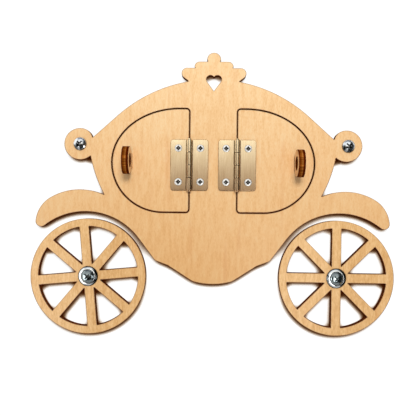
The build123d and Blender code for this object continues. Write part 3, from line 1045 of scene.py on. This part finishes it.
# %% [markdown]
# ## The board behind
#
# The carriage hangs flat against a white board that curves forward into a pale floor. Its job
# is to catch the soft shadows that lift the plywood off it. It is drawn as one line, from the
# top of the wall round a cove to the front of the floor, and pulled sideways into a sheet.

# %% The board and floor
stage_gap = 0.0003
stage_top = 0.9
stage_floor = -0.90
stage_cove = 0.07
stage_front = -0.5
stage_width = 1.4
cove_steps = 12

stage_side = -stage_width / 2
board_line = [(stage_side, stage_gap, stage_top)]
for step in range(cove_steps + 1):
    turn = step / cove_steps * pi / 2
    forward = stage_gap - stage_cove * (1 - cos(turn))
    board_line.append((stage_side, forward, stage_floor + stage_cove * (1 - sin(turn))))
board_line.append((stage_side, stage_front, stage_floor))
board = draw_line("board", board_line)
bpy.ops.object.mode_set(mode="EDIT")
bpy.ops.mesh.select_all(action="SELECT")
bpy.ops.mesh.extrude_region_move(TRANSFORM_OT_translate={"value": (stage_width, 0, 0)})
bpy.ops.object.mode_set(mode="OBJECT")
if board.data.polygons[0].normal.y > 0:
    board.data.flip_normals()
bpy.ops.object.shade_smooth()
print("the board and floor have", len(board.data.polygons), "faces")

# %% [markdown]
# ## The dark line under each edge
#
# Under every lower edge lies a dark band of painted shadow, where wood and board nearly touch.
# Ambient occlusion finds these places, looking up and forward, and a ramp paints them from brown
# to white. The band grows towards the bottom, furthest from the lamp, and it fades at the crown.
# The wheels, which stand off the board on their spacers, are given a wider one.

# %% How closed in the board is
board_paint, tree, shader = new_material("white_board")
tree.nodes.remove(shader)
look_reach = 0.006
crown_heights = (0.15, 0.09)
crown_fade = 0.12
hem_heights = (0.09, -0.05)
hem_widening = 0.115
wheel_sides = (0.047, 0.055)
guard_heights = (0.05, 0.042)
wheel_heights = (0.04, -0.045)
wheel_widening = (0.01, 0.10)

from_above = add_node(tree, "CombineXYZ", {"X": 0.0, "Y": -0.7, "Z": 0.7}).outputs[0]
closed_in = add_node(
    tree, "AmbientOcclusion", {"Distance": look_reach, "Normal": from_above}, samples=48)
board_place = add_split(tree, add_node(tree, "TexCoord").outputs["Object"])
board_height = board_place["Z"]
fade = add_range(tree, board_height, *crown_heights, crown_fade, 0.0)
under = add_range(tree, board_height, *hem_heights, 0.0, hem_widening)
sideways = add_math(tree, "ABSOLUTE", board_place["X"])
beside_body = add_range(tree, sideways, *wheel_sides)
below_guards = add_range(tree, board_height, *guard_heights)
at_wheels = add_math(tree, "MULTIPLY", beside_body, below_guards)
deeper = add_range(tree, board_height, *wheel_heights, *wheel_widening)
under = add_math(tree, "ADD", under, add_math(tree, "MULTIPLY", at_wheels, deeper))
openness = add_math(tree, "SUBTRACT", add_math(tree, "ADD", closed_in.outputs["AO"], fade), under)
shaded = add_ramp(tree, openness, [
    (0.26, linear(56, 16, 0)), (0.33, linear(62, 26, 0)), (0.386, linear(100, 68, 42)),
    (0.45, linear(145, 118, 92)), (0.506, linear(208, 192, 176)), (0.60, white)])
print("the board looks", look_reach * 1000, "mm round for wood")

# %% [markdown]
# ## The paint of the board
#
# For the camera the board glows a little, so that it stays white with no more light on the
# wood, and the rest of its colour is matt, so that it takes the soft shadows of the pieces. It
# shows only from its front and to the camera and mirrors, so that the back of the carriage is
# lit and can be looked at too.

# %% The paint
glow_strength = 1.15
matt_share = 0.25

rays = add_node(tree, "LightPath")
matt = add_node(tree, "BsdfDiffuse", {"Color": shaded}).outputs[0]
glow = add_node(tree, "Emission", {"Color": shaded, "Strength": glow_strength}).outputs[0]
bright = add_node(tree, "MixShader", {0: matt_share, 1: glow, 2: matt}).outputs[0]
paint = add_node(tree, "MixShader", {0: rays.outputs["Is Camera Ray"], 1: matt, 2: bright}).outputs[0]
clear = add_node(tree, "BsdfTransparent").outputs[0]
front = add_math(tree, "SUBTRACT", 1.0, add_node(tree, "NewGeometry").outputs["Backfacing"])
seen = add_math(tree, "MAXIMUM", rays.outputs["Is Camera Ray"], rays.outputs["Is Glossy Ray"])
seen = add_math(tree, "MULTIPLY", seen, front)
surface = add_node(tree, "MixShader", {0: seen, 1: clear, 2: paint}).outputs[0]
tree.links.new(surface, tree.nodes["Material Output"].inputs["Surface"])
board_paint.cycles.emission_sampling = "NONE"
board.data.materials.append(board_paint)
print("the board glows at", glow_strength, "and is", matt_share, "matt")

# %% [markdown]
# ## Light
#
# One soft lamp above and in front makes the gentle shadows under each edge, and lights the
# crown a little more than the wheels. A pale card beside each wheel's screw is there for its
# mirror alone, and adds no light to the wood.

# %% The lamp and the cards
lamp_distance = 0.95
lamp_height_angle = radians(25)
lamp_side_angle = radians(4)
lamp_size = 0.28
lamp_power = 5.4
lamp_colour = (1.0, 0.985, 0.96)
card_distance = 0.1
card_width = 0.08
card_height = 0.11
card_power = 0.15
card_directions = {"left": Vector((-0.69, -0.66, -0.28)), "right": Vector((-0.30, -0.90, -0.30))}


def place_light(name, target, towards, distance, width, height, power):
    """An oblong light at a distance in some direction from its target, turned to face it."""
    place = target + towards.normalized() * distance
    bpy.ops.object.light_add(type="AREA", location=place)
    light = bpy.context.object
    light.name = name
    light.rotation_euler = towards.to_track_quat("Z", "Y").to_euler()
    light.data.shape = "RECTANGLE"
    light.data.size = width
    light.data.size_y = height
    light.data.energy = power
    print(name, "stands at", [round(value * 1000) for value in place])
    return light


lamp_direction = Vector((
    sin(lamp_side_angle) * cos(lamp_height_angle),
    -cos(lamp_side_angle) * cos(lamp_height_angle),
    sin(lamp_height_angle),
))
face_middle = Vector((0, front_face, (cad_box[0].z + cad_box[1].z) / 2))
lamp = place_light(
    "soft_lamp", face_middle, lamp_direction, lamp_distance, lamp_size, lamp_size, lamp_power)
lamp.data.color = lamp_colour
lamp.visible_glossy = False

for side, towards in card_directions.items():
    low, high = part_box("axle_screw_" + side)
    head = Vector(((low.x + high.x) / 2, low.y, (low.z + high.z) / 2))
    card = place_light("card_" + side, head, towards, card_distance, card_width, card_height, card_power)
    card.visible_diffuse = False

# %% [markdown]
# ## The room
#
# The room itself is pale and gives the rest of the light. It is one thing to soft light, one to
# the camera, and one to mirrors. In mirrors it is brighter overhead, with a soft box above the
# camera and a window low on the left, and dimmer and warmer straight ahead, where the camera
# stands. That gives the metal its light and dark sides. Each part covers a range of directions,
# given by how far they point up, back and to the right. Behind the carriage all is white.

# %% The room
room_light = (0.46, 0.46, 0.46, 1)
dark_walls = linear(56, 58, 58)
pale_ceiling = linear(140, 142, 150)
ceiling_up = (0.0, 0.9)
ceiling_right = (0.6, 0.0)
box_light = (1.1, 1.1, 1.1, 1)
box_up = (0.22, 0.42)
box_back = (-0.25, -0.45)
box_right = (0.7, 0.3)
window_light = (1.5, 1.5, 1.45, 1)
window_lean = 0.4
window_side = (-0.1, -0.4)
window_back = (-0.45, -0.25)
board_back = (0.1, 0.3)
ahead_back = (-0.70, -0.94)
ahead_up = (-0.2, 0.2)

world = bpy.data.worlds.new("room")
bpy.context.scene.world = world
world.use_nodes = True
tree = world.node_tree
direction = add_split(tree, add_node(tree, "TexCoord").outputs["Generated"])
right, back, up = [direction[axis] for axis in "XYZ"]

overhead = add_math(
    tree, "MULTIPLY", add_range(tree, up, *ceiling_up), add_range(tree, right, *ceiling_right))
softbox = add_math(
    tree, "MULTIPLY", add_range(tree, up, *box_up), add_range(tree, back, *box_back))
softbox = add_math(tree, "MULTIPLY", softbox, add_range(tree, right, *box_right))
low_left = add_math(tree, "ADD", right, add_math(tree, "MULTIPLY", up, window_lean))
window = add_math(
    tree, "MULTIPLY", add_range(tree, low_left, *window_side), add_range(tree, back, *window_back))
ahead = add_ramp(tree, add_range(tree, up, *ahead_up), [
    (0.1, linear(70, 66, 62)), (0.45, linear(158, 148, 136)), (0.58, linear(210, 199, 186)),
    (0.72, (0.9, 0.87, 0.80, 1)), (0.84, (1.65, 1.60, 1.50, 1))])

room = add_blend(tree, overhead, dark_walls, pale_ceiling)
room = add_blend(tree, softbox, room, box_light)
room = add_blend(tree, window, room, window_light)
room = add_blend(tree, add_range(tree, back, *board_back), room, white)
room = add_blend(tree, add_range(tree, back, *ahead_back), room, ahead)
rays = add_node(tree, "LightPath")
shown = add_blend(tree, rays.outputs["Is Diffuse Ray"], room, room_light)
shown = add_blend(tree, rays.outputs["Is Camera Ray"], shown, white)
tree.links.new(shown, tree.nodes["Background"].inputs["Color"])

bpy.context.scene.view_settings.view_transform = "Standard"
print("the room is set for camera, mirrors and soft light")
